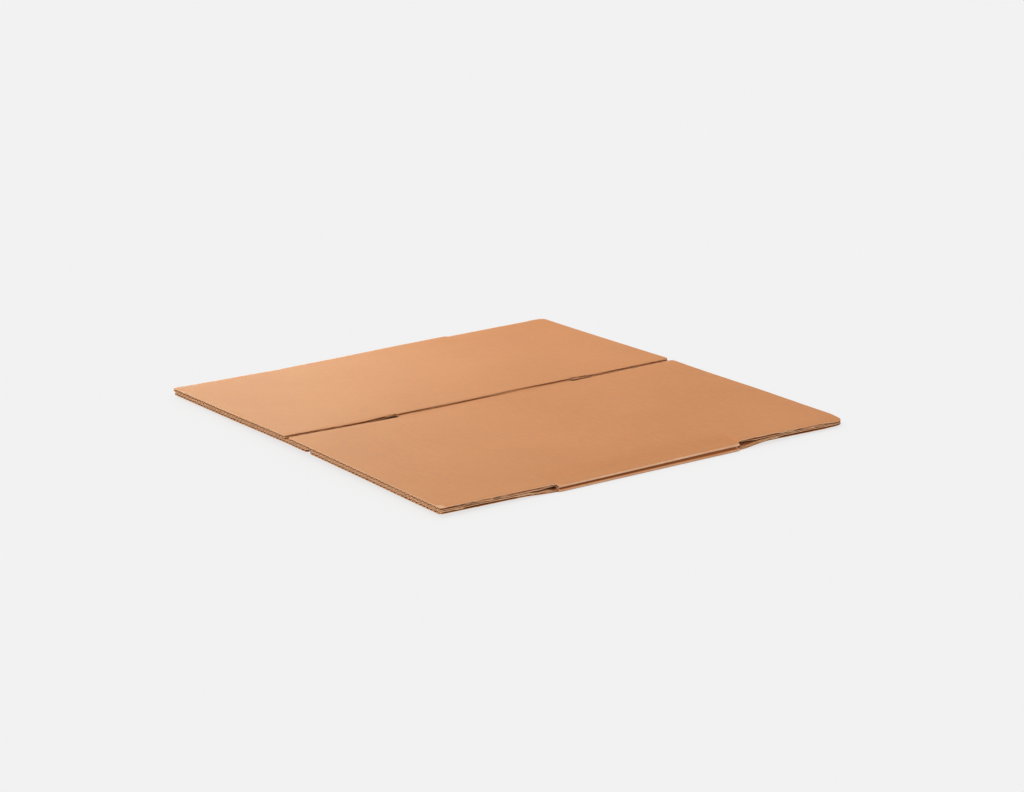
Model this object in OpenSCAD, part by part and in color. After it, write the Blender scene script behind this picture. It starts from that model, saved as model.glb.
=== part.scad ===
// Flattened shipping box: one sheet of single-wall corrugated board, slotted into flaps,
// folded flat at two creases and closed into a loop by a glued lap joint.
// X runs across the panels, Y along the flutes and Z up from the surface it lies on.

/* [Panels] */
// Width of a long side panel, crease to crease
long_panel = 359; // [240:1:500]
// Width of a short side panel, crease to crease
short_panel = 307; // [180:1:450]
// Height of the box body, flap score to flap score
body_height = 260; // [120:1:400]
// Length of every flap, from its score to its cut edge
flap_length = 154; // [60:1:220]

/* [Board] */
// Thickness of the corrugated board
board_t = 4; // [3:0.1:6]
// Thickness of each flat liner
liner_t = 0.45; // [0.3:0.05:0.7]
// Thickness of the fluted medium between the liners
medium_t = 0.4; // [0.25:0.05:0.6]
// Distance from one flute to the next
flute_pitch = 8; // [6:0.1:10]
// Length of the flat on each flute's crest
crest_flat = 1.5; // [0.8:0.1:2.2]

/* [Slots and scores] */
// Width of the slots that part the flaps
slot_w = 8; // [5:0.5:12]
// Width of the band that a flap score presses flat
score_w = 4.5; // [3:0.5:12]
// Depth that a score presses into each face
score_depth = 0.6; // [0.3:0.1:1.1]
// Depth of the crease line along a folded edge
fold_crease = 2; // [0.5:0.1:3]

/* [Glue joint] */
// Width of the glue tab under the lapped panel
tab_w = 35; // [20:1:50]
// Thickness of the glue tab, which is rolled thin before it is glued
tab_t = 2.2; // [1.2:0.1:2.8]
// Length that each end of the tab tapers by
tab_taper = 12; // [4:1:25]
// Gap from the lapped panel's cut edge to the tab's crease
joint_gap = 3; // [1:0.5:5]
// Length that the lapped panel's flaps and the tab are cut back by at the slot
flap_trim = 1; // [0.5:0.5:4]

/* [Lay] */
// Clearance between the two layers of board
layer_gap = 0.5; // [0.3:0.1:1.5]
// Height that the two upper panels spring up to at the glue joint
joint_spring = 1.2; // [0.5:0.1:6]
// Lift of the near flaps above the body, in degrees
near_lift = 1; // [0:0.1:3]
// Lift of the far flaps above the body, in degrees
far_lift = 0.2; // [0:0.1:3]

/* [Hidden] */
$fn = 32;

kraft = [0.80, 0.58, 0.40];
bite = 0.1;                                     // overlap that makes two forms one
seat = 1;                                       // depth that a pressed band is let into the board
press_step = 0.05;                              // step at the edge of a pressed band
flat_w = long_panel + short_panel;              // width of the folded sheet, fold to fold
half_w = flat_w / 2;
edge_r = board_t / 2;                           // round of the board at a fold
upper_z = board_t + layer_gap;                  // underside of the upper layer
body_half = (body_height - score_w) / 2;        // half of the body, less the score bands
crease_x = half_w - short_panel;                // middle crease of the lower layer
lap_x = edge_r - half_w;                        // axis that the lapped panel rises about
lap_w = short_panel - edge_r - joint_gap;       // from that axis to the lapped panel's cut edge
lap_rise = asin((tab_t + joint_spring) / lap_w); // slope that lays the lapped panel on the tab
crown_w = long_panel - edge_r;                  // from the long upper panel's fold axis to the tab's crease
crown_rise = asin(joint_spring / crown_w);      // slope of the long upper panel up to that crease

// Outline of the medium's wave: a strip with flat crests that bite into both liners.
function wave_x(i) = [0, 0, flute_pitch / 2, flute_pitch / 2, flute_pitch][i]
    + [0, 1, -1, 1, -1][i] * crest_flat / 2;
function wave(count, low, high) = concat(
    [[0, low]],
    [for (k = [0:count - 1], i = [1:4]) [k * flute_pitch + wave_x(i), i == 2 || i == 3 ? high : low]],
    [[count * flute_pitch, low]]);
function lifted(points, dz) = [for (p = points) [p.x, p.y + dz]];
function backwards(points) = [for (i = [len(points) - 1:-1:0]) points[i]];

module medium(width) {
    count = floor(width / flute_pitch);
    rise = board_t - 2 * liner_t;
    slope = atan2(rise, flute_pitch / 2 - crest_flat);
    strip = medium_t / cos(slope);
    low = wave(count, liner_t - bite, board_t - liner_t + bite - strip);
    translate([(width - count * flute_pitch) / 2, 0])
        polygon(concat(low, backwards(lifted(low, strip))));
}

// Section of the open board: two liners with the medium between them.
module fluted_section(width) {
    square([width, liner_t]);
    translate([0, board_t - liner_t])
        square([width, liner_t]);
    medium(width);
}

// Section along the flutes of the band that a score presses into both faces, let into the board at its ends.
module score_section() {
    steps = 6;
    function pressed(s) = press_step + (score_depth - press_step) * (1 - cos(360 * s)) / 2;
    lower = concat(
        [[-seat, press_step]],
        [for (i = [0:steps]) [score_w * i / steps, pressed(i / steps)]],
        [[score_w + seat, press_step]]);
    upper = [for (p = backwards(lower)) [p.x, board_t - p.y]];
    polygon(concat(lower, upper));
}

// A pressed score and the flap beyond it, from x = 0 to width and out along Y.
module flap(width) {
    rotate([90, 0, 90])
        linear_extrude(width)
            score_section();
    translate([0, score_w / 2 + flap_length, 0])
        rotate([90, 0, 0])
            linear_extrude(flap_length - score_w / 2)
                fluted_section(width);
}

// Frame of the lapped panel, with x = 0 on the axis of its fold and z = 0 in the board's middle.
module lapped() {
    translate([lap_x, 0, upper_z + edge_r])
        rotate([0, -lap_rise, 0])
            children();
}

// Frame of the long upper panel, with x = 0 on the axis of its fold and the panel towards -x.
module crowned() {
    translate([half_w - edge_r, 0, upper_z + edge_r])
        rotate([0, crown_rise, 0])
            children();
}

// The four flaps at one end of the sheet, lower layer first.
module flap_row(lift) {
    side = half_w - slot_w / 2;
    translate([0, body_half, 0])
        rotate([lift, 0, 0]) {
            translate([-side, 0, 0])
                flap(long_panel - slot_w);
            translate([crease_x + slot_w / 2, 0, 0])
                flap(short_panel - slot_w);
            crowned()
                translate([slot_w / 2 - crown_w, 0, -edge_r])
                    flap(long_panel - slot_w);
            lapped()
                translate([slot_w / 2 - edge_r, 0, -edge_r])
                    flap(lap_w - flap_trim + edge_r - slot_w / 2);
        }
}

// Rounded end of one layer of board at a fold, on the board's middle line.
module fold_edge() {
    circle(edge_r);
}

// Section of the body across the flutes: the flattened loop of four panels.
module body_section() {
    fold_x = half_w - edge_r;
    difference() {
        union() {
            translate([-fold_x, 0])
                square([2 * fold_x, board_t]);
            for (side = [-1, 1]) {
                translate([side * fold_x, edge_r])
                    fold_edge();
                translate([side * (half_w - fold_crease - edge_r / 2), edge_r + upper_z / 2])
                    square([edge_r, upper_z], center = true);
            }
        }
        // Crease between the two lower panels, pressed in from both faces.
        for (z = [0, board_t])
            translate([crease_x, z])
                polygon([[-score_w / 2, 0], [0, score_depth], [score_w / 2, 0], [0, -score_depth]]);
    }
    translate([fold_x, upper_z + edge_r])
        rotate(-crown_rise) {
            fold_edge();
            translate([-crown_w, -edge_r])
                square([crown_w, board_t]);
        }
    translate([lap_x, upper_z + edge_r])
        rotate(lap_rise) {
            fold_edge();
            translate([0, -edge_r])
                square([lap_w, board_t]);
        }
}

module body() {
    translate([0, body_half, 0])
        rotate([90, 0, 0])
            linear_extrude(2 * body_half)
                body_section();
}

// Glue tab of the long upper panel, tapered at both ends, glued under the lapped panel.
module glue_tab() {
    free_x = lap_w - tab_w;
    root_x = lap_w + joint_gap + seat;
    root_y = body_half - flap_trim;
    lapped()
        translate([0, 0, -edge_r - tab_t])
            linear_extrude(tab_t + bite)
                polygon([[free_x, tab_taper - root_y], [root_x, -root_y],
                         [root_x, root_y], [free_x, root_y - tab_taper]]);
}

module flattened_box() {
    color(kraft)
        union() {
            body();
            glue_tab();
            flap_row(far_lift);
            mirror([0, 1, 0])
                flap_row(near_lift);
        }
}

flattened_box();
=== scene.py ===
import math

import bmesh
import bpy
from mathutils import Matrix, Vector, noise


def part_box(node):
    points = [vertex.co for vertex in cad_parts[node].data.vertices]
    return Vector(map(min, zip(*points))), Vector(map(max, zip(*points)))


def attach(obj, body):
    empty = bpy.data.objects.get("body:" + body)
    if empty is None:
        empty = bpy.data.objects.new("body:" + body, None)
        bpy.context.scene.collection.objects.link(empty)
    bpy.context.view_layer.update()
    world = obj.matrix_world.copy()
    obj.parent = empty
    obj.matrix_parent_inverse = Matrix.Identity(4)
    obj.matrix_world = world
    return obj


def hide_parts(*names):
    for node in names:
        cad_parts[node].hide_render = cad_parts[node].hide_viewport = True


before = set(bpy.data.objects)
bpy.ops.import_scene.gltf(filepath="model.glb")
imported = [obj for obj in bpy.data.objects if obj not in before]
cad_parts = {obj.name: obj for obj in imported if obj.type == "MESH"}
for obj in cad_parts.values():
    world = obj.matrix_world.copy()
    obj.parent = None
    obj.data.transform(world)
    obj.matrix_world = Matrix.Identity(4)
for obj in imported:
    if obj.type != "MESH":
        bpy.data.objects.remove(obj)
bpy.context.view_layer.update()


# The blank: one sheet of single-wall corrugated board, slotted and scored while it is flat.
# A point of it is known by u, its way across the flutes, v, its way along them, and w, its height above
# the board's middle with the outside up. The die cuts the slots and the glue tab out of it.
half_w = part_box("flattened_box")[1].x
long_panel = 0.359
short_panel = 2 * half_w - long_panel
body_half = 0.12775
score_v = 0.130
score_half = 0.006
score_steps = 3
flap_length = 0.154
flap_end = score_v + flap_length
flap_trim = 0.0025
slot_half = 0.004
slot_drift = 0.0015
tab_w = 0.035
tab_taper = 0.012
tab_t = 0.0022
joint_gap = 0.003

board = 0.004
liner_t = 0.00055
flute_pitch = 0.008

fold_right = long_panel
crease = long_panel + short_panel
fold_left = crease + long_panel
sheet_end = fold_left + short_panel - joint_gap
flaps = [
    (slot_half, fold_right - slot_half),
    (fold_right + slot_half, crease - slot_half),
    (crease + slot_half, fold_left - slot_half - slot_drift),
    (fold_left + slot_half - slot_drift, sheet_end - flap_trim),
]

# A fold takes up a strip of board: flat at first, then round its nose, then back into the crease.
fold_run = 0.006
flat_lines = (fold_run, 0.005, slot_half, 0.0036)
round_from = 0.0032
round_to = 0.0010
round_steps = 12
crease_steps = 4
fold_offsets = list(flat_lines)
fold_offsets += [round_from + (round_to - round_from) * k / round_steps for k in range(round_steps + 1)]
fold_offsets += [round_to * k / crease_steps for k in range(crease_steps)]


def ruled(step, marks):
    """Lines about a step apart, with one at every mark and none crowding a mark."""
    first, last = min(marks), max(marks)
    count = round((last - first) / step)
    even = [first + (last - first) * k / count for k in range(count + 1)]
    crowding = 0.4 * step
    clear = [line for line in even if min(abs(line - mark) for mark in marks) > crowding]
    return sorted(clear + marks)


def flap_sides(u):
    """The two cut sides of the flap at u, or None in a slot."""
    hair = 1e-6
    for first, last in flaps:
        if first - hair <= u <= last + hair:
            return first, last
    return None


def blank(u_step, v_step, edge_steps):
    """The flat sheet as the die leaves it, ruled finer at its folds, its scores and its cut edges."""
    u_marks = [-tab_w, 0.0, sheet_end]
    for first, last in flaps:
        u_marks += [first, last]
        u_marks += [first + step for step in edge_steps]
        u_marks += [last - step for step in edge_steps]
    for fold in (fold_right, fold_left):
        u_marks += [fold + offset for offset in fold_offsets]
        u_marks += [fold - offset for offset in fold_offsets if offset > 0]
    v_marks = [0.0]
    for end in (-1, 1):
        v_marks += [end * body_half, end * flap_end]
        v_marks += [end * (score_v + score_half * k / score_steps) for k in range(-1, score_steps + 1)]
        v_marks += [end * (flap_end - step) for step in edge_steps]
    u_lines = ruled(u_step, u_marks)
    v_lines = ruled(v_step, v_marks)

    bm = bmesh.new()
    bmesh.ops.create_grid(bm, x_segments=len(u_lines) - 1, y_segments=len(v_lines) - 1, size=0.5)
    for vert in bm.verts:
        column = round((vert.co.x + 0.5) * (len(u_lines) - 1))
        row = round((vert.co.y + 0.5) * (len(v_lines) - 1))
        vert.co = (u_lines[column], v_lines[row], 0)

    waste = []
    for face in bm.faces:
        u, v, _ = face.calc_center_median()
        if abs(v) > body_half and flap_sides(u) is None:
            waste.append(face)
    bmesh.ops.delete(bm, geom=waste, context="FACES")
    for vert in bm.verts:
        if vert.co.x < 0:
            vert.co.y *= 1 + tab_taper / body_half * vert.co.x / tab_w
    return bm


# Wear from the die and from handling: the scoring wheels press the board, the slotting knives crush and tear
# the edges beside a slot, the glue tab is rolled thin, and the corners of the flaps get blunt. The far ends
# are cut a little out of square at the right, and that corner has been knocked thin.
score_outside = 0.08
score_inside = 0.40
crease_press = 0.30
knife_reach = 0.005
knife_crush = 0.16
crush_spread_outside = 0.3
crush_spread_inside = 1.4
crush_stretch = 2
lap_crush = 0.7 * knife_crush
end_crush = 0.04
outer_tear = 0.00025
inner_tear = 0.0011
end_tear = 0.4
rolled_thin = 1 - tab_t / board
corner_round = {(fold_right, 1): 0.012, (fold_left, 1): 0.006, (fold_right, -1): 0.004}
plain_corner = 0.0025
far_skew = 0.004
corner_press = 0.38
corner_reach = 0.035
rough_scale = 160
slow_scale = 9


def rough(u, v, seed):
    """A steady random number about -1 to 1 that changes over a few millimetres."""
    return 2 * noise.noise(Vector((u * rough_scale, v * rough_scale, seed)))


def slow(u, v, seed):
    """The same, changing over several centimetres."""
    return 2 * noise.noise(Vector((u * slow_scale, v * slow_scale, seed)))


def bump(t):
    """1 at 0, falling smoothly to 0 at -1 and 1."""
    return max(0.0, 1 - t * t) ** 2


def rise(t):
    """0 up to 0, rising smoothly to 1 from 1 on."""
    t = min(max(t, 0.0), 1.0)
    return t * t * (3 - 2 * t)


def blunted(u, v, tear, seed):
    """The place of a flap's point once its corners are blunt and its cut edges torn."""
    sides = flap_sides(u)
    if sides is None or abs(v) < body_half:
        return u, v
    first, last = sides
    side, inwards = (first, 1) if u - first < last - u else (last, -1)
    a = abs(u - side)
    b = flap_end - abs(v)
    r = plain_corner
    for (fold, end), worn in corner_round.items():
        if abs(fold - side) < 2 * slot_half and end * v > 0:
            r = worn
    if a < r and b < r:
        across, along = 1 - a / r, 1 - b / r
        a = r * (1 - across * math.sqrt(1 - along * along / 2))
        b = r * (1 - along * math.sqrt(1 - across * across / 2))
    a += tear * rough(side, v, seed) * max(0.0, 1 - a / knife_reach)
    b += end_tear * tear * rough(u, flap_end, seed) * max(0.0, 1 - b / knife_reach)
    if v > 0:
        out_of_square = far_skew * max(0.0, 1 - abs(u - fold_right) / long_panel)
        b -= out_of_square * rise((v - score_v) / flap_length)
    return side + inwards * a, math.copysign(flap_end - b, v)


def pinched(u, v):
    """The share of its thickness that the board has lost by a knock on the far right corner."""
    return corner_press * bump(math.hypot(u - fold_right, v - flap_end) / corner_reach)


def share_left(u, v, outside):
    """The share of the board's thickness that is left after scoring, cutting and rolling."""
    score_press = score_outside if outside else score_inside
    share = 1 - score_press * bump((abs(v) - score_v) / score_half)
    if abs(v) > body_half:
        first, last = flap_sides(u) or (u, u)
        side_gap = min(u - first, last - u)
        spread = crush_spread_outside if outside else crush_spread_inside
        crush = knife_crush * max(0.0, 1 + spread * rough(u, v / crush_stretch, seed=6 if outside else 7))
        share -= crush * bump(side_gap / knife_reach)
        share -= pinched(u, v)
        share -= end_crush * bump((flap_end - abs(v)) / knife_reach)
    else:
        share -= lap_crush * bump((sheet_end - u) / knife_reach)
        share -= crease_press * bump((u - crease) / score_half)
    return share * (1 - rolled_thin * rise(-u / joint_gap))


# Folding flat: the sheet turns over at two folds, so the long panel that carries the glue tab and the
# short panel that laps it lie on top, and the other two panels lie on the floor under them.
# At a fold the outer paper bulges into two beads with a deep crease between them, and draws the inner one in.
layer_gap = 0.0005
lower_mid = board / 2
upper_mid = board + layer_gap + board / 2
near_spring = 0.0007
far_spring = 0.0019
nose_r = 0.0015
nose_waver = 0.05
nose_stretch = 5
nose_tuck = math.radians(70)
crease_depth = 0.0052
crease_waver = 0.06
crease_stretch = 6
crease_curve = 0.4
inner_bend = 0.0006


def opened(v):
    """Height that a fold has sprung open by, more at its far end."""
    return near_spring + (far_spring - near_spring) * rise(0.5 + v / (2 * body_half))


def fold_half(v):
    """Half the height from the lower layer's middle to the upper one's at a fold."""
    return (upper_mid + opened(v) - lower_mid) / 2


def nose(offset, inset, v):
    """How far out of the flat panel, and how far off the board's middle, the outer paper lies near a fold."""
    r = nose_r * (1 + nose_waver * rough(0, v / nose_stretch, seed=31))
    centre = fold_run - r
    r -= inset
    if offset > round_from:
        out = fold_run - offset
        flat = out / (fold_run - round_from)
        out = max(out, centre * rise(2 * flat - 1))
        return out, board / 2 - inset + (nose_r - board / 2) * rise(flat)
    if offset > round_to:
        swing = math.pi / 2 - (math.pi / 2 + nose_tuck) * (round_from - offset) / (round_from - round_to)
        return centre + r * math.cos(swing), r * math.sin(swing)
    back = offset / round_to
    nose_out = centre + r * math.cos(nose_tuck)
    depth = crease_depth * (1 + crease_waver * rough(0, v / crease_stretch, seed=37))
    crease_out = fold_run - inset - depth
    half = fold_half(v)
    off_middle = (half - r * math.sin(nose_tuck)) * back ** crease_curve - half
    return crease_out + (nose_out - crease_out) * back, off_middle


def bead(offset, w, v):
    """How far out and how high a point near a fold lies, its offset from the fold being positive above it."""
    half = fold_half(v)
    middle = (upper_mid + opened(v) + lower_mid) / 2
    if w > 0:
        out, off_middle = nose(abs(offset), board / 2 - w, v)
        return out, middle + math.copysign(half + off_middle, offset)
    turn = offset / fold_run
    return inner_bend * math.sqrt(1 - turn * turn) + board / 2 + w, middle + turn * (half + w)


# The lie of the layers: behind the right fold the upper panels swell up off the lower ones, and they spring
# up to the glue joint between them. Beyond the scores nothing holds the flaps down, so both layers of them
# stand at that height, and the near ones are bent up a little.
left_swell = 0.0008
near_swell = 0.0022
far_swell = 0.0045
tip_droop = 0.0025
joint_spring = 0.0040
panel_bulge = 0.0006
swell_run = 0.04
free_run = 0.004
lap_rest = 0.15
follow_run = 0.05
follow_lead = 0.045
flap_ease = 0.045
near_lift = math.radians(0.95)
lift_ease = 0.008
inner_draw = 0.0015
draw_depth = board / 3
uneven = 0.00025
cut_angle = math.radians(50)
joint_x = short_panel - half_w


def flap_lift(v):
    """Height that the near flaps stand above the body, bending up from their score."""
    out = max(0.0, -v - body_half)
    return math.tan(near_lift) * (math.hypot(out, lift_ease) - lift_ease)


def sprung(x, v):
    """Height that the upper layer stands off the lower one, away from the folds."""
    if x < joint_x:
        return left_swell + (joint_spring - left_swell) * (x + half_w) / short_panel
    swell = near_swell + (far_swell - near_swell) * rise(0.5 + v / (2 * score_v))
    swell -= tip_droop * rise((v - score_v) / flap_length)
    return swell + (joint_spring - swell) * (half_w - x) / long_panel


def stand_off(from_fold, width, x, v):
    """Height that an upper panel or flap stands off the lower layer, held down at its fold."""
    free = rise((from_fold - fold_run) / swell_run)
    free += (1 - free) * rise((abs(v) - body_half) / free_run)
    crown = panel_bulge * math.sin(math.pi * min(from_fold / width, 1.0)) ** 2
    crown *= 1 - rise((abs(v) - body_half) / flap_ease)
    return opened(v) + (sprung(x, v) - opened(v)) * free + crown


def follow_up(from_fold, x, v):
    """Height that a lower flap rises by under the upper ones, from before its score between the folds."""
    start = body_half - follow_lead * rise((from_fold - fold_run) / swell_run)
    return sprung(x, v) * rise((abs(v) - start) / follow_run)


def on_tab(x):
    """Height that the glue tab adds under the lapped panel."""
    return tab_t * max(0.0, x + half_w - fold_run) / (short_panel - fold_run)


def drawn_back(from_fold, v, w):
    """Way that the crease of a fold draws the inner paper back into the box."""
    near = rise(1 - (from_fold - fold_run) / swell_run)
    near *= 1 - rise((abs(v) - body_half) / flap_ease)
    return inner_draw * near * rise(-w / draw_depth)


def laid(u, v, w, tear, seed):
    """Where a point of the flat blank lies in the flattened box."""
    w *= share_left(u, v, w > 0)
    u, v = blunted(u, v, tear, seed)
    if abs(u - fold_right) < fold_run and abs(v) <= body_half:
        out, z = bead(fold_right - u, w, v)
        x = half_w - fold_run + out
    elif abs(u - fold_left) < fold_run and abs(v) <= body_half:
        out, z = bead(u - fold_left, w, v)
        x = fold_run - half_w - out
    elif u < fold_right:
        x = joint_x + u
        z = upper_mid + w + stand_off(fold_right - u, long_panel, x, v) - board * pinched(u, v)
        z += (on_tab(x) - (board + tab_t) / 2) * rise(-u / joint_gap)
    elif u < fold_left:
        x = half_w - (u - fold_right)
        z = lower_mid - w + follow_up(min(u - fold_right, fold_left - u), x, v)
    else:
        x = u - fold_left - half_w
        z = upper_mid + w + stand_off(u - fold_left, short_panel, x, v)
        z += on_tab(x) * (1 - (1 - lap_rest) * rise((abs(v) - score_v) / flap_ease))
    x -= drawn_back(abs(u - fold_right), v, w)
    x += drawn_back(abs(u - fold_left), v, w)
    z += flap_lift(v) + max(0.0, uneven * (1 + slow(x, v, seed=11)))
    return Vector((x, v, z))


def folded(bm, tear, seed):
    """Folds a finished flat sheet, with its flat place kept as the UV map that its paper is patterned by."""
    flat = bm.loops.layers.uv.new("flat")
    for face in bm.faces:
        for loop in face.loops:
            loop[flat].uv = loop.vert.co.xy
    for vert in bm.verts:
        vert.co = laid(*vert.co, tear, seed)
    if bm.calc_volume(signed=True) < 0:
        bmesh.ops.reverse_faces(bm, faces=bm.faces)


def finished(bm, name, *materials):
    """Makes the sheet a piece of the box, smooth except at its cut edges."""
    mesh = bpy.data.meshes.new(name)
    bm.to_mesh(mesh)
    bm.free()
    mesh.shade_smooth()
    mesh.set_sharp_from_angle(angle=cut_angle)
    for material in materials:
        mesh.materials.append(material)
    piece = bpy.data.objects.new(name, mesh)
    bpy.context.collection.objects.link(piece)
    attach(piece, "root")
    return piece


# Kraft paper: brown unbleached pulp with cloudy formation, short fibres that lie along the machine,
# across the flutes, a few dark specks, and on the liners a faint washboard over the flutes.
# The outer paper is rubbed paler at the ends of the flaps and on the near corner.
# Along the folds the outer faces of the beads are paler too: partly rubbed, partly a painted highlight.
fold_wear_and_highlight = 0.0022
fold_wear_and_highlight_fade = 1.4 * fold_wear_and_highlight
fold_wear_and_highlight_start = 0.8 * round_to
fold_wear_and_highlight_full = 1.4 * round_to
lower_bead_wear_and_highlight = 0.55
rub_cut = 0.0012
rub_cut_share = 0.5
wear_and_highlight_least = 0.35
rub_end = 0.0030
rub_corner = 0.010
rub_ragged = 0.35 * rub_corner
worn_corner = (fold_right - slot_half, -flap_end, 0)
washboard_shade = 0.012
speck_shade = 0.72
grain_range = (0.25, 0.75)
sheen = 0.2
roughness_spread = 0.07
relief_height = 0.00004
relief_strength = 0.7


def kraft_paper(name, tone, shade, roughness, washboard, fibre, worn_and_highlight_tone=None):
    material = bpy.data.materials.new(name)
    material.use_nodes = True
    nodes = material.node_tree.nodes
    links = material.node_tree.links
    shader = nodes["Principled BSDF"]
    shader.inputs["Specular IOR Level"].default_value = sheen

    place = nodes.new("ShaderNodeUVMap")
    place.uv_map = "flat"
    split = nodes.new("ShaderNodeSeparateXYZ")
    links.new(place.outputs["UV"], split.inputs["Vector"])

    def grain(scale, detail, stretch=(1, 1, 1)):
        """Cloudy noise with so many clouds to the metre."""
        mapping = nodes.new("ShaderNodeMapping")
        mapping.inputs["Scale"].default_value = stretch
        pattern = nodes.new("ShaderNodeTexNoise")
        pattern.inputs["Scale"].default_value = scale
        pattern.inputs["Detail"].default_value = detail
        links.new(place.outputs["UV"], mapping.inputs["Vector"])
        links.new(mapping.outputs["Vector"], pattern.inputs["Vector"])
        return pattern.outputs["Fac"]

    def spread(value, low_from, high_from, low_to, high_to):
        """A value moved from one range to another, and kept inside it."""
        span = nodes.new("ShaderNodeMapRange")
        for socket, number in zip(span.inputs[1:5], (low_from, high_from, low_to, high_to)):
            socket.default_value = number
        links.new(value, span.inputs["Value"])
        return span.outputs["Result"]

    def combined(operation, first, second):
        sum_node = nodes.new("ShaderNodeMath")
        sum_node.operation = operation
        for socket, value in zip(sum_node.inputs, (first, second)):
            if isinstance(value, (int, float)):
                socket.default_value = value
            else:
                links.new(value, socket)
        return sum_node.outputs["Value"]

    def product(first, *others):
        for other in others:
            first = combined("MULTIPLY", first, other)
        return first

    def varied(pattern, share):
        """1, more or less by a share as the pattern goes up and down."""
        return spread(pattern, *grain_range, 1 - share, 1 + share)

    def blended(first, second, share):
        """A colour between two, each a colour or an output of one."""
        blend = nodes.new("ShaderNodeMix")
        blend.data_type = "RGBA"
        for socket, colour in (("A", first), ("B", second)):
            if isinstance(colour, tuple):
                blend.inputs[socket].default_value = (*colour, 1)
            else:
                links.new(colour, blend.inputs[socket])
        links.new(share, blend.inputs["Factor"])
        return blend.outputs["Result"]

    clouds = grain(scale=7, detail=4)
    mottle = grain(scale=120, detail=3)
    fibres = grain(scale=260, detail=4, stretch=(1, 7, 1))
    streaks = grain(scale=40, detail=3, stretch=(1, 12, 1))
    specks = grain(scale=420, detail=1)
    wave = combined("SINE", product(split.outputs["X"], 2 * math.pi / flute_pitch), 0)

    tint = blended(shade, tone, spread(clouds, 0.3, 0.7, 0.0, 1.0))

    if worn_and_highlight_tone:
        along = combined("ABSOLUTE", split.outputs["Y"], 0)
        worn_and_highlight = spread(along, flap_end - rub_cut, flap_end, 0.0, rub_cut_share)

        from_corner = nodes.new("ShaderNodeVectorMath")
        from_corner.operation = "DISTANCE"
        from_corner.inputs[1].default_value = worn_corner
        links.new(place.outputs["UV"], from_corner.inputs[0])
        ragged = spread(mottle, *grain_range, -rub_ragged, rub_ragged)
        ragged = combined("ADD", from_corner.outputs["Value"], ragged)
        worn_and_highlight = combined("MAXIMUM", worn_and_highlight, spread(ragged, 0.5 * rub_corner, rub_corner, 1.0, 0.0))

        at_end = spread(along, body_half - rub_end, body_half, 0.0, 1.0)
        # Beside each fold: wear and a painted highlight on the outer faces of the beads' noses, none in the
        # crease, less below.
        for fold, under in ((fold_right, 1), (fold_left, -1)):
            off_fold = combined("SUBTRACT", split.outputs["X"], fold)
            way = combined("ABSOLUTE", off_fold, 0)
            outer_side = spread(way, fold_wear_and_highlight, fold_wear_and_highlight_fade, 1.0, 0.0)
            inner_side = spread(way, fold_wear_and_highlight_start, fold_wear_and_highlight_full, 0.0, 1.0)
            below = spread(off_fold, -under * round_to, under * round_to, 1.0, lower_bead_wear_and_highlight)
            worn_and_highlight = combined("MAXIMUM", worn_and_highlight, product(outer_side, inner_side, below))
            frayed = product(at_end, spread(way, fold_wear_and_highlight, 2 * fold_wear_and_highlight, 1.0, 0.0))
            worn_and_highlight = combined("MAXIMUM", worn_and_highlight, frayed)

        patches = grain(scale=90, detail=3, stretch=(1, 0.15, 1))
        patchy = spread(patches, 0.3, 0.65, wear_and_highlight_least, 1.0)
        # One paler tone serves the wear and the painted highlight on the folds.
        tint = blended(tint, worn_and_highlight_tone, product(worn_and_highlight, patchy))

    washed = washboard_shade * washboard
    depth = product(
        varied(mottle, 0.05),
        varied(fibres, 0.06),
        varied(streaks, 0.045),
        spread(wave, -1, 1, 1 - washed, 1 + washed),
        spread(specks, 0.74, 0.80, 1.0, speck_shade),
    )
    scaled = nodes.new("ShaderNodeVectorMath")
    scaled.operation = "SCALE"
    links.new(tint, scaled.inputs["Vector"])
    links.new(depth, scaled.inputs["Scale"])
    links.new(scaled.outputs["Vector"], shader.inputs["Base Color"])

    gloss = spread(mottle, 0.2, 0.8, roughness - roughness_spread, roughness + roughness_spread)
    links.new(gloss, shader.inputs["Roughness"])

    height = combined("ADD", product(wave, 0.5 * washboard), product(fibres, fibre))
    height = combined("ADD", height, product(mottle, fibre))
    relief = nodes.new("ShaderNodeBump")
    relief.inputs["Distance"].default_value = relief_height
    relief.inputs["Strength"].default_value = relief_strength
    links.new(height, relief.inputs["Height"])
    links.new(relief.outputs["Normal"], shader.inputs["Normal"])
    return material


# The outer paper's paler tone serves both its wear and the painted highlight on the fold beads.
outer_kraft = kraft_paper(
    "outer_kraft", tone=(0.577, 0.235, 0.082), shade=(0.540, 0.215, 0.073), roughness=0.60,
    washboard=1.0, fibre=1.0, worn_and_highlight_tone=(0.86, 0.56, 0.37))
inner_kraft = kraft_paper(
    "inner_kraft", tone=(0.60, 0.275, 0.110), shade=(0.55, 0.245, 0.095), roughness=0.78,
    washboard=1.0, fibre=1.0)
fluting_paper = kraft_paper(
    "fluting_paper", tone=(0.66, 0.305, 0.125), shade=(0.58, 0.255, 0.100), roughness=0.85,
    washboard=0.0, fibre=1.4)
cut_paper = kraft_paper(
    "cut_paper", tone=(0.95, 0.60, 0.360), shade=(0.84, 0.50, 0.280), roughness=0.90,
    washboard=0.0, fibre=2.0)


# The two liners: flat kraft papers on the outside and the inside of the board. Each is cut to the blank's
# outline, thickened, and folded with the sheet, and its cut edges show paper of another tone.
liner_u_step = 0.010
liner_v_step = 0.005
liner_edge_steps = (0.001, 0.003, 0.006, 0.010)


def thickened(bm, thickness):
    """Gives a sheet its thickness, with the second material on its cut edges."""
    bmesh.ops.solidify(bm, geom=bm.faces, thickness=thickness)
    bm.normal_update()
    for face in bm.faces:
        face.material_index = 0 if abs(face.normal.z) > 0.5 else 1


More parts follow.
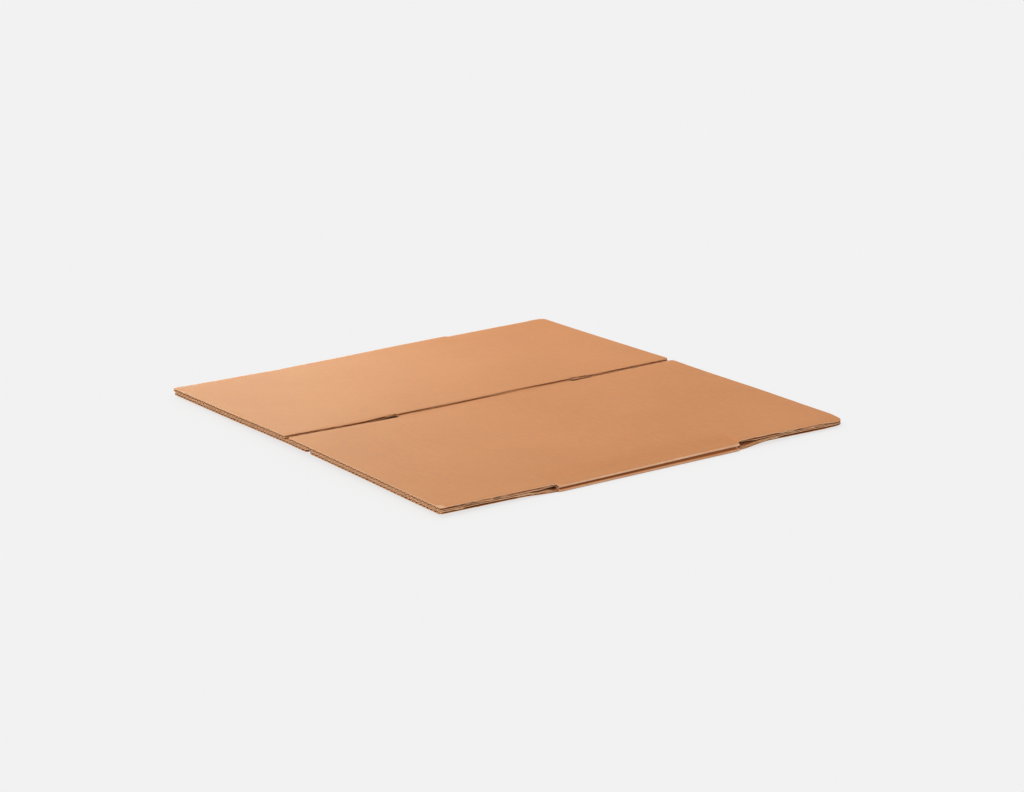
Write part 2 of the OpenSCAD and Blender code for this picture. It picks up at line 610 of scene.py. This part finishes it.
def liner(name, w_low, paper, tear, seed):
    bm = blank(liner_u_step, liner_v_step, liner_edge_steps)
    thickened(bm, liner_t)
    lowest = min(vert.co.z for vert in bm.verts)
    bmesh.ops.translate(bm, verts=bm.verts, vec=(0, 0, w_low - lowest))
    folded(bm, tear, seed)
    return finished(bm, name, paper, cut_paper)


outer_liner = liner("outer_liner", board / 2 - liner_t, outer_kraft, outer_tear, 1)
inner_liner = liner("inner_liner", -board / 2, inner_kraft, inner_tear, 2)
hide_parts("flattened_box")


# The fluted medium: a paper waved between the liners and glued to them, which shows along every cut end and
# is torn back where the knives cut beside a flute. Only the strips along the cut edges are made, because the
# liners close over the rest.
medium_t = 0.00055
wave_height = board / 2 - liner_t - medium_t / 2
medium_u_step = flute_pitch / 10
medium_v_step = 0.004
flute_skew = 0.035
torn_back = 0.0030
torn_mean = 0.5
torn_spread = 0.7
torn_stretch = 2
side_strip = 0.012
end_strip = 0.030

bm = blank(medium_u_step, medium_v_step, ())
hidden = []
for face in bm.faces:
    u, v, _ = face.calc_center_median()
    first, last = flap_sides(u) or (u, u)
    at_end = abs(v) > flap_end - end_strip
    at_side = abs(v) > body_half and min(u - first, last - u) < side_strip
    at_slot = body_half - side_strip < abs(v) < body_half and abs(u - crease) < 2 * slot_half
    at_lap = abs(v) < body_half and u > sheet_end - side_strip
    if not (at_end or at_side or at_slot or at_lap):
        hidden.append(face)
bmesh.ops.delete(bm, geom=hidden, context="FACES")
for vert in bm.verts:
    u, v, _ = vert.co
    vert.co.z = wave_height * math.cos(2 * math.pi * (u + flute_skew * v) / flute_pitch)
    first, last = flap_sides(u) or (u, u)
    for side, inwards in ((first, 1), (last, -1)):
        if abs(u - side) < torn_back and abs(v) > body_half:
            torn = torn_mean + torn_spread * rough(side, v / torn_stretch, seed=19)
            torn = torn_back * min(max(0.0, torn), 1.0)
            vert.co.x = side + inwards * max(abs(u - side), torn)
thickened(bm, medium_t)
folded(bm, inner_tear, 3)
fluted_medium = finished(bm, "fluted_medium", fluting_paper, cut_paper)


# The floor and the sky: a plain pale floor that takes the box's shadow, under an even soft sky.
# Both are seen in nearly the same pale tone, whatever light falls from them on the box.
floor_size = 40
floor_tone = 0.80
floor_even = 0.8
sky_level = 0.70
backdrop_tone = 0.925


def seen(tree):
    """1 for what the eye meets itself, in gloss or through glass, and 0 for the light that falls."""
    path = tree.nodes.new("ShaderNodeLightPath")
    met = path.outputs["Is Camera Ray"]
    for way in ("Is Glossy Ray", "Is Transmission Ray"):
        either = tree.nodes.new("ShaderNodeMath")
        either.operation = "MAXIMUM"
        tree.links.new(met, either.inputs[0])
        tree.links.new(path.outputs[way], either.inputs[1])
        met = either.outputs["Value"]
    return met


bpy.ops.mesh.primitive_plane_add(size=floor_size)
floor = bpy.context.object
floor.name = "floor"
floor_paint = bpy.data.materials.new("floor_paint")
floor_paint.use_nodes = True
floor_tree = floor_paint.node_tree
floor_shader = floor_tree.nodes["Principled BSDF"]
floor_shader.inputs["Base Color"].default_value = (floor_tone, floor_tone, floor_tone, 1)
floor_shader.inputs["Roughness"].default_value = 1
floor_shader.inputs["Specular IOR Level"].default_value = 0
floor_glow = floor_tree.nodes.new("ShaderNodeEmission")
floor_glow.inputs["Color"].default_value = (backdrop_tone, backdrop_tone, backdrop_tone, 1)
floor_share = floor_tree.nodes.new("ShaderNodeMath")
floor_share.operation = "MULTIPLY"
floor_share.inputs[1].default_value = floor_even
floor_mix = floor_tree.nodes.new("ShaderNodeMixShader")
floor_tree.links.new(seen(floor_tree), floor_share.inputs[0])
floor_tree.links.new(floor_share.outputs["Value"], floor_mix.inputs["Fac"])
floor_tree.links.new(floor_shader.outputs["BSDF"], floor_mix.inputs[1])
floor_tree.links.new(floor_glow.outputs["Emission"], floor_mix.inputs[2])
floor_tree.links.new(floor_mix.outputs["Shader"], floor_tree.nodes["Material Output"].inputs["Surface"])
floor.data.materials.append(floor_paint)

scene = bpy.context.scene
world = bpy.data.worlds.new("studio")
scene.world = world
world.use_nodes = True
sky_tree = world.node_tree
sky = sky_tree.nodes["Background"]
sky.inputs["Color"].default_value = (1, 1, 1, 1)
sky_mix = sky_tree.nodes.new("ShaderNodeMix")
sky_mix.inputs["A"].default_value = sky_level
sky_mix.inputs["B"].default_value = backdrop_tone
sky_tree.links.new(seen(sky_tree), sky_mix.inputs["Factor"])
sky_tree.links.new(sky_mix.outputs["Result"], sky.inputs["Strength"])


# The camera: a long lens, low in front of the near end and the right fold, and tilted a little.
# Its focal length and its middle are in pixels of the image.
camera_azimuth = math.radians(58.19)
camera_elevation = math.radians(15.82)
camera_roll = math.radians(-2.29)
camera_distance = 3.874
focal_px = 3109
image_w = 1024
middle_px = (-14.79, 15.75)

ahead = Vector((
    -math.sin(camera_azimuth) * math.cos(camera_elevation),
    math.cos(camera_azimuth) * math.cos(camera_elevation),
    -math.sin(camera_elevation),
))
level = Vector((math.cos(camera_azimuth), math.sin(camera_azimuth), 0))
upright = level.cross(ahead)
right = math.cos(camera_roll) * level + math.sin(camera_roll) * upright
top = right.cross(ahead)
turned = Matrix((right, top, -ahead)).transposed().to_4x4()

lens = bpy.data.cameras.new("camera")
lens.sensor_width = 36
lens.lens = lens.sensor_width * focal_px / image_w
lens.shift_x = -middle_px[0] / image_w
lens.shift_y = middle_px[1] / image_w
lens.clip_end = 60
camera = bpy.data.objects.new("camera", lens)
camera.matrix_world = Matrix.Translation(-ahead * camera_distance) @ turned
bpy.context.collection.objects.link(camera)
scene.camera = camera


# The lamps: a broad soft key from high in front on the left, and a window low behind the box on the left,
# whose sheen lies on the upper panels. The window lights the box only, so that the floor stays even.
away = Vector((ahead.x, ahead.y, 0)).normalized()
up = Vector((0, 0, 1))
key_place = -1.6 * level - 2.0 * away + 2.6 * up
key_power = 0.97
key_angle = math.radians(40)
window_place = -0.55 * level + 1.0 * away + 0.38 * up
window_power = 2.4
window_size = 0.9
window_spread = math.radians(90)
window_tone = (1.0, 1.0, 0.80)


def lamp(kind, name, place, power):
    """A lamp that shines from a place to the middle of the box, and isn't seen itself."""
    light = bpy.data.lights.new(name, kind)
    light.energy = power
    holder = bpy.data.objects.new(name, light)
    holder.location = place
    holder.rotation_euler = (-place).to_track_quat("-Z", "Y").to_euler()
    holder.visible_camera = False
    bpy.context.collection.objects.link(holder)
    return holder


key = lamp("SUN", "key", key_place, key_power)
key.data.angle = key_angle
window = lamp("AREA", "window", window_place, window_power)
window.data.shape = "DISK"
window.data.size = window_size
window.data.spread = window_spread
window.data.color = window_tone
by_window = bpy.data.collections.new("by_window")
for piece in (outer_liner, inner_liner, fluted_medium):
    by_window.objects.link(piece)
window.light_linking.receiver_collection = by_window

scene.view_settings.view_transform = "Standard"
